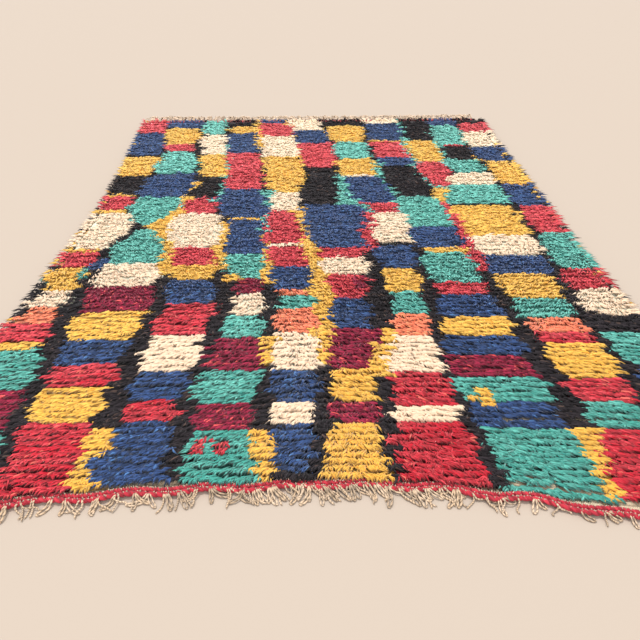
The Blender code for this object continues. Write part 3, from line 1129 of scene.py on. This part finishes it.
def pile():
    """Every end of every knot, and one piece for each yarn."""
    close_rows = CLOSE_ROWS - END_ROW
    rope_rows = ROPE_ROWS - END_ROW
    close = knot_ends(0, close_rows, CLOSE_ENDS, ROPE_BENDS)
    roped = knot_ends(close_rows, rope_rows, ROPE_ENDS, ROPE_BENDS)
    loose = knot_ends(rope_rows, len(knot_x), LOOSE_ENDS, LOOSE_BENDS)
    for index, name in enumerate(YARNS):
        sets = []
        for yarn, paths, widths, shades in (close, roped, loose):
            picked = yarn == index
            sets.append(strands(paths[picked], widths[picked], END_FLATNESS, 3, shades[picked]))
        piece = spun("pile_" + name, sets, wool_material(name + "_wool", DYES[name]))
        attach(piece, "root")
        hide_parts("pile_field")
        yield piece


pile_pieces = list(pile())

# The web of each end: a narrow strip of plain weave past the last row of knots, undyed wool, whose warps go
# on as the fringe.
WEB_THICKNESS = 0.0025
WEB_UNDERSIDE = 0.0002
RIM_WIDTH = 0.018
WEB_STEPS = 220
WEB_UNDER_PILE = 0.004
WEB_MAP_SIDES = (0.02, 0.98)
WEB_MAP_HEIGHTS = ((0.0, 0.12), (0.12, 0.88), (0.88, 1.0), (0.0, 1.0))
WEB_THREADS = (2, 8)
WEB_LIGHT = (0.12, 0.72)
WEB_FIBRE_LIGHT = 0.45
WEB_FIBRE_HEIGHT = 0.5
WEB_RELIEF = 0.0010

RugEnd = namedtuple("RugEnd", "front back inward")
NEAR = RugEnd(near_front, pile_start, 1)
FAR = RugEnd(far_front, pile_stop, -1)


def end_width(end):
    """Where the woven and twined pieces of an end start and stop, across the rug."""
    left = read_table(SIDES, end.back(0), "left")
    right = read_table(SIDES, end.back(0), "right")
    return left + RIM_WIDTH, right - RIM_WIDTH


def web_weave_material():
    material, tree, shader = new_material("web_weave", **CLOTH_FINISH)
    place, across, along = map_place(tree)
    weft, warp = (
        calculate(tree, "SINE", calculate(tree, "MULTIPLY", part, 2 * math.pi * threads))
        for part, threads in zip((across, along), WEB_THREADS)
    )
    weave_height = calculate(tree, "MULTIPLY", weft, warp)
    fibre = new_node(tree, "TexNoise", Scale=22.0, Detail=4.0, Vector=place).outputs["Fac"]
    # The weave is painted lighter where threads rise and darker where they dip: painted shade.
    light = calculate(tree, "MULTIPLY_ADD", weave_height, *WEB_LIGHT)
    light = calculate(tree, "MULTIPLY_ADD", fibre, WEB_FIBRE_LIGHT, light)
    height = calculate(tree, "MULTIPLY_ADD", fibre, WEB_FIBRE_HEIGHT, weave_height)
    finish_surface(tree, shader, light_up(tree, WARP_COLOUR, light), height, Distance=WEB_RELIEF)
    return material


WEB_MATERIAL = web_weave_material()


def end_web(name, end):
    """A closed strip from the web's outer edge to just under the first row of pile."""
    x = np.linspace(*end_width(end), WEB_STEPS + 1)
    outer = end.front(x)
    inner = end.back(x) + end.inward * WEB_UNDER_PILE
    heights = (WEB_UNDERSIDE, WEB_THICKNESS, WEB_THICKNESS, WEB_UNDERSIDE)
    edges = [np.stack((x, y, z + 0 * x), -1) for y, z in zip((outer, outer, inner, inner), heights)]
    vertices = np.stack(edges, 1).reshape(-1, 3)
    faces, places = [], []
    near_side, far_side = WEB_MAP_SIDES
    for step in range(WEB_STEPS):
        for i, (low, high) in enumerate(WEB_MAP_HEIGHTS):
            j = (i + 1) % 4
            face = [4 * step + i, 4 * step + j, 4 * step + 4 + j, 4 * step + 4 + i]
            corners = [(near_side, low), (near_side, high), (far_side, high), (far_side, low)]
            add_face(faces, places, face, corners, end.inward < 0)
    for step, turned in ((0, end.inward > 0), (WEB_STEPS, end.inward < 0)):
        add_face(faces, places, [4 * step + i for i in range(4)], TILE_CORNERS, turned)
    piece = add_piece(name, vertices, faces, places, WEB_MATERIAL)
    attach(piece, "root")
    return piece


near_web = end_web("near_web", NEAR)
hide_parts("near_fringe")
far_web = end_web("far_web", FAR)
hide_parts("far_fringe")

# The twined bands: red plied wool, two rows at each end. In each row a pair of yarns crosses between one
# bunch of warps and the next, and locks the web.
BAND_FLOOR = WEB_THICKNESS + 0.0002
BAND_DYE = Dye(
    (0.41, 0.018, 0.034), (0.58, 0.055, 0.075), (0.80, 0.60, 0.45), 0.0, 0.35, 1.0, 0.15, 1.0, 0.60
)
BAND_SHADES = 20
TWINE_MAP_STEPS = 8
TWINE_FLATNESS = 0.8

Twine = namedtuple("Twine", "distance rest pitch radius lift half_width swell")
TWINES = (
    Twine(-0.0012, 0.0010, 0.022, 0.0022, 0.0018, 0.0038, 0.28),
    Twine(0.0084, BAND_FLOOR, 0.013, 0.0026, 0.0018, 0.0031, 0.20),
)

# How the hand's work strays along a band: how much, and how often.
Stray = namedtuple("Stray", "size rate")
TURN_STRAYS = (Stray(0.5, 31), Stray(0.4, 67))
LINE_STRAY = Stray(0.0005, 43)
SWELL_STRAY = Stray(0.10, 119)


def strayed(stray, x, start):
    return stray.size * np.sin(x * stray.rate + start)


def twined_band(name, end, step_length, sides, first_shade, replaced):
    """Two rows of two crossing yarns that follow the end's line."""
    left, right = end_width(end)
    steps = int(round((right - left) / step_length / TWINE_MAP_STEPS)) * TWINE_MAP_STEPS
    x = np.linspace(left, right, steps + 1)
    paths, widths = [], []
    for number, twine in enumerate(TWINES):
        turn = 2 * np.pi * (x - left) / twine.pitch
        turn += strayed(TURN_STRAYS[0], x, number) + strayed(TURN_STRAYS[1], x, 2 * number)
        line = end.front(x) + end.inward * (twine.distance + strayed(LINE_STRAY, x, number))
        middle = twine.rest + twine.lift + twine.half_width * TWINE_FLATNESS
        for yarn in (0, 1):
            phase = turn + np.pi * yarn
            y = line + twine.radius * np.cos(phase)
            paths.append(np.stack((x, y, middle + twine.lift * np.sin(phase)), -1))
            swell = twine.swell * np.sin(phase) + strayed(SWELL_STRAY, x, 3 * number + yarn)
            widths.append(twine.half_width * (1 + swell))
    shades = first_shade + rng.integers(0, BAND_SHADES, (len(paths), steps // TWINE_MAP_STEPS))
    shades = shades.repeat(TWINE_MAP_STEPS, 1)
    yarns = strands(np.array(paths), np.array(widths), TWINE_FLATNESS, sides, shades, TWINE_MAP_STEPS)
    # Its ply grooves are painted darker by the wool's ply light: painted shade.
    piece = spun(name, [yarns], wool_material(name + "_wool", BAND_DYE))
    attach(piece, "root")
    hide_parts(replaced)
    return piece


near_band = twined_band(
    "near_twining", NEAR, step_length=0.0018, sides=5, first_shade=0, replaced="near_end_band"
)
far_band = twined_band(
    "far_twining", FAR, step_length=0.0034, sides=4, first_shade=40, replaced="far_end_band"
)

# The fringe: the warps, tightly spun undyed wool, brought out between the two rows of twining and left in
# bunches of single ends and loops that lie on the floor.
FRINGE_HALF_WIDTH = 0.0017
FRINGE_THICKNESS_STRAY = (0.85, 1.15)
FRINGE_TAPER = 0.85
FRINGE_REST = 0.0019
FRINGE_START = -0.0015
FRINGE_POINTS = 14
FRINGE_DYE = Dye(
    (0.49, 0.35, 0.225), (0.76, 0.585, 0.43), (0.50, 0.34, 0.22), 0.0, 0.45, 0.9, 0.15, 1.0, 0.42
)
FRINGE_SHADES = 30
FRINGE_RELIEF = 0.0006
FringeStep = namedtuple("FringeStep", "out height")
FRINGE_FALL = (
    FringeStep(0.000, 0.0060),
    FringeStep(0.003, 0.0098),
    FringeStep(0.006, 0.0080),
    FringeStep(0.010, 0.0040),
    FringeStep(0.014, FRINGE_REST),
    FringeStep(1.000, FRINGE_REST),
)

# How the bunches stand along an end: their pitch, how many ends or loops each has, their length, which way
# they lie, in degrees to the right, and how much they rise off the floor.
Bunching = namedtuple("Bunching", "across pitch most length lean rise")
NEAR_BUNCHES = (
    Bunching(-0.80, 0.025, 4, 0.039, -10, 0.0),
    Bunching(-0.45, 0.026, 3, 0.039, 0, 0.0),
    Bunching(-0.25, 0.026, 4, 0.039, 18, 0.0),
    Bunching(-0.05, 0.022, 5, 0.040, 34, 0.0),
    Bunching(0.18, 0.021, 5, 0.044, 42, 0.0),
    Bunching(0.30, 0.034, 3, 0.031, 25, 0.0),
    Bunching(0.80, 0.040, 3, 0.032, 15, 0.0),
)
FAR_BUNCHES = (
    Bunching(-0.80, 0.022, 5, 0.058, 0, 0.017),
    Bunching(0.80, 0.022, 5, 0.058, 0, 0.017),
)
FIRST_BUNCH = 0.010
LAST_BUNCH = 0.006
PITCH_STRAY = (0.80, 1.20)
LENGTH_STRAY = (0.72, 1.05)

# Within a bunch: how far apart its ends are tied and lift over each other, and by what angles, in radians,
# the bunch, each end and its tip turn aside.
END_SPACING = 0.0024
END_LIFT = 0.0022
BUNCH_TURN = 0.25
END_FAN = 0.26
END_TURN = 0.12
TIP_TURN = 0.40
END_WAVE = 0.0022
LOOP_SHARE = 0.55
LOOP_BELLY = (0.0026, 0.0044)
LOOP_SWELL = (0.7, 0.5)

# Specks of warp between the turns of the red yarn: their pitch along the band and their own size.
SPECK_PITCH = 0.0026
SPECK_PITCH_STRAY = 0.3
SPECK_LENGTH = 0.0065
SPECK_HALF_WIDTH = 0.0017
SPECK_THICKNESS_STRAY = (0.7, 1.3)
SPECK_PLACE = (0.0015, 0.0012)
SPECK_TURN = 0.5
SPECK_BEND = 0.0016
# The specks take lighter shades, near the far colour: painted light for warp lit on top of the band.
FIRST_SPECK_SHADE = 44
SPECK_SHADES = 15


def strand_shape(is_loop, reach):
    """A warp end or a loop of one, laid straight out: how far out and how far aside at each point."""
    t = np.linspace(0, 1, FRINGE_POINTS)
    if is_loop:
        belly = rng.uniform(*LOOP_BELLY)
        out = reach * 0.5 * (1 - np.cos(2 * np.pi * t))
        return out, -belly * np.sin(2 * np.pi * t) * (LOOP_SWELL[0] + LOOP_SWELL[1] * out / reach)
    return reach * t, rng.normal(0, END_WAVE) * np.sin(2.0 * np.pi * t)


def fringe_paths(end, bunches):
    """Ends and loops in bunches that lean together and cross."""
    outs = np.array([step.out for step in FRINGE_FALL])
    heights = np.array([step.height for step in FRINGE_FALL])
    left, right = end_width(end)
    paths = []
    x = left + FIRST_BUNCH
    while x < right - LAST_BUNCH:
        pitch, most, length, lean, rise = (
            float(read_table(bunches, x, column)) for column in ("pitch", "most", "length", "lean", "rise")
        )
        most = int(round(most))
        bunch_turn = math.radians(lean) + rng.normal(0, BUNCH_TURN)
        members = int(rng.integers(max(1, most - 2), most + 1))
        for member in range(members):
            place = member - 0.5 * (members - 1)
            foot = x + place * END_SPACING
            reach = length * rng.uniform(*LENGTH_STRAY)
            out, aside = strand_shape(rng.random() < LOOP_SHARE, reach)
            turn = bunch_turn + place * END_FAN + rng.normal(0, END_TURN)
            turn = turn + rng.normal(0, TIP_TURN) * out / reach
            px = foot + aside * np.cos(turn) + out * np.sin(turn)
            forward = out * np.cos(turn) - aside * np.sin(turn)
            py = end.front(np.array([foot]))[0] - end.inward * (forward - FRINGE_START)
            lift = (END_LIFT * (member % 3) + rise) * np.clip(np.sin(np.pi * out / reach), 0, 1)
            paths.append(np.stack((px, py, np.interp(out, outs, heights) + lift), -1))
        x += pitch * rng.uniform(*PITCH_STRAY)
    return np.array(paths)


def speck_paths(end):
    """Short stretches of warp that show on top of the twined rows."""
    x = np.arange(*end_width(end), SPECK_PITCH)
    x = x + rng.normal(0, SPECK_PITCH_STRAY * SPECK_PITCH, len(x))
    twine = rng.integers(0, len(TWINES), len(x))
    middle = np.array([twine.distance for twine in TWINES])[twine] + rng.normal(*SPECK_PLACE, len(x))
    top = np.array([t.rest + 2 * (t.lift + t.half_width * TWINE_FLATNESS) for t in TWINES])[twine]
    lean = rng.normal(0, SPECK_TURN, len(x))
    paths = np.zeros((len(x), 3, 3))
    for point, share in enumerate((-0.5, 0.0, 0.5)):
        paths[:, point, 0] = x + share * SPECK_LENGTH * np.sin(lean)
        paths[:, point, 1] = end.front(x) + end.inward * (middle - share * SPECK_LENGTH * np.cos(lean))
        paths[:, point, 2] = top - (SPECK_BEND if share else 0.0)
    return paths


def fringe(name, end, bunches, first_shade, replaced):
    """The warp ends of an end as one piece, with the specks on its band."""
    paths = fringe_paths(end, bunches)
    count, points, _ = paths.shape
    taper = np.ones(points)
    taper[-2] = FRINGE_TAPER
    widths = FRINGE_HALF_WIDTH * rng.uniform(*FRINGE_THICKNESS_STRAY, (count, 1)) * taper
    shades = first_shade + rng.integers(0, FRINGE_SHADES, (count, 1))
    specks = speck_paths(end)
    speck_widths = SPECK_HALF_WIDTH * rng.uniform(*SPECK_THICKNESS_STRAY, (len(specks), 1)) * np.ones(3)
    speck_shades = FIRST_SPECK_SHADE + rng.integers(0, SPECK_SHADES, (len(specks), 1))
    sets = [strands(paths, widths, 1.0, 5, shades), strands(specks, speck_widths, 1.0, 3, speck_shades)]
    # Its twist grooves and root are painted darker by the wool's lights: painted shade.
    wool = wool_material(name + "_wool", FRINGE_DYE, FRINGE_RELIEF, Root_Length=0.2, Plies=1.0, Turns=8.0)
    piece = spun(name, sets, wool)
    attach(piece, "root")
    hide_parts(replaced)
    return piece


near_fringe = fringe("near_warp_ends", NEAR, NEAR_BUNCHES, first_shade=0, replaced="near_fringe")
far_fringe = fringe("far_warp_ends", FAR, FAR_BUNCHES, first_shade=28, replaced="far_fringe")

# The floor, the light and the camera: a plain pale floor, soft light from behind on the left, and the
# photograph's own view.
FLOOR_COLOUR = (0.435, 0.362, 0.298, 1)
FLOOR_SIZE = 40
FLOOR_HEIGHT = -0.0004
bpy.ops.mesh.primitive_plane_add(size=FLOOR_SIZE, location=(0, 0, FLOOR_HEIGHT))
floor = bpy.context.active_object
floor.name = "floor"
floor_finish = {"Base_Color": FLOOR_COLOUR, "Roughness": 0.75, "Specular_IOR_Level": 0.2}
floor.data.materials.append(new_material("pale_floor", **floor_finish)[0])

Sun = namedtuple("Sun", "name direction spread power colour")
SUNS = (
    Sun("key", (-0.20, 0.22, 1.00), 14, 2.35, (1.0, 0.97, 0.93)),
    Sun("front", (0.25, -0.90, 0.80), 30, 1.3, (1.0, 0.98, 0.96)),
)
for sun in SUNS:
    light = bpy.data.lights.new(sun.name, "SUN")
    light.angle = math.radians(sun.spread)
    light.energy = sun.power
    light.color = sun.colour
    holder = bpy.data.objects.new(sun.name, light)
    holder.rotation_euler = Vector(sun.direction).to_track_quat("Z", "Y").to_euler()
    bpy.context.scene.collection.objects.link(holder)

SKY_COLOUR = (0.95, 0.97, 1.0, 1)
SKY_POWER = 0.98
world = bpy.data.worlds.new("studio")
world.use_nodes = True
set_up(world.node_tree.nodes["Background"], Color=SKY_COLOUR, Strength=SKY_POWER)
bpy.context.scene.world = world
bpy.context.scene.view_settings.view_transform = "Standard"

CAMERA_PLACE = (-0.055, -1.872, 0.890)
CAMERA_DIP = math.radians(32.59)
CAMERA_TURN = math.radians(1.573)
CAMERA_LENS = 37.97
CAMERA_FILM = 36.0
CAMERA_NEAREST = 0.05
camera = bpy.data.objects.new("camera", bpy.data.cameras.new("camera"))
camera.data.lens = CAMERA_LENS
camera.data.sensor_width = CAMERA_FILM
camera.data.clip_start = CAMERA_NEAREST
camera.location = CAMERA_PLACE
camera.rotation_euler = (math.pi / 2 - CAMERA_DIP, 0, -CAMERA_TURN)
bpy.context.scene.collection.objects.link(camera)
bpy.context.scene.camera = camera
